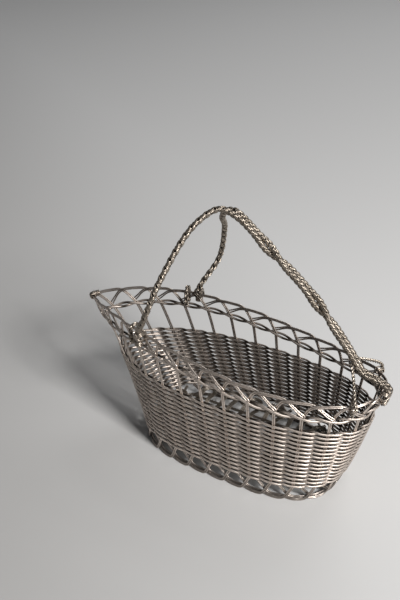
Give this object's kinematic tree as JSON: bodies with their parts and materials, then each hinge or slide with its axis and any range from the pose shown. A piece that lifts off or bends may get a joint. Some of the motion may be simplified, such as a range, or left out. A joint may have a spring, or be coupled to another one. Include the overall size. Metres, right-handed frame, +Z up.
{
  "type": "wine bottle holder",
  "caption": "Boat-shaped pouring basket of woven silver-coloured wire that cradles a wine bottle, with a drawn-out spout end and a looped rope handle.",
  "frame": {"origin": "on the standing plane, under the middle of the overall length and width", "axes": "+X towards the blunt back end, -X towards the spout, +Y across, +Z up"},
  "size_m": [0.2825, 0.1258, 0.2277],
  "materials": {
    "stake_wire": "aged silver plate, polished high spots over brown tarnish",
    "weave_wire": "aged silver plate, satin with brown tarnish in the crevices",
    "floor_wire": "darkened silver plate",
    "rope_wire": "braided silver-plated wire, dull with bright edges",
    "lashing_wire": "thin silver-plated binding wire"
  },
  "bodies": {
    "root": {"stake_01": "stake_wire", "stake_02": "stake_wire", "stake_03": "stake_wire", "stake_04": "stake_wire", "stake_05": "stake_wire", "stake_06": "stake_wire", "stake_07": "stake_wire", "stake_08": "stake_wire", "stake_09": "stake_wire", "stake_10": "stake_wire", "stake_11": "stake_wire", "stake_12": "stake_wire", "stake_13": "stake_wire", "stake_14": "stake_wire", "stake_15": "stake_wire", "stake_16": "stake_wire", "stake_17": "stake_wire", "stake_18": "stake_wire", "stake_19": "stake_wire", "stake_20": "stake_wire", "stake_21": "stake_wire", "stake_22": "stake_wire", "stake_23": "stake_wire", "stake_24": "stake_wire", "stake_25": "stake_wire", "stake_26": "stake_wire", "stake_27": "stake_wire", "weave_row_01": "weave_wire", "weave_row_02": "weave_wire", "weave_row_03": "weave_wire", "weave_row_04": "weave_wire", "weave_row_05": "weave_wire", "weave_row_06": "weave_wire", "weave_row_07": "weave_wire", "weave_row_08": "weave_wire", "weave_row_09": "weave_wire", "weave_row_10": "weave_wire", "weave_row_11": "weave_wire", "weave_row_12": "weave_wire", "weave_row_13": "weave_wire", "weave_row_14": "weave_wire", "weave_row_15": "weave_wire", "rim_fitching": "weave_wire", "floor_panel": "floor_wire", "floor_rod_1": "floor_wire", "floor_rod_2": "floor_wire", "floor_rod_3": "floor_wire", "floor_rod_4": "floor_wire", "floor_rod_5": "floor_wire", "floor_rod_6": "floor_wire", "floor_rod_7": "floor_wire", "handle_rope_far": "rope_wire", "side_lashing_far": "lashing_wire", "stay_far": "rope_wire", "handle_rope_near": "rope_wire", "side_lashing_near": "lashing_wire", "stay_near": "rope_wire"}
  },
  "joints": []
}
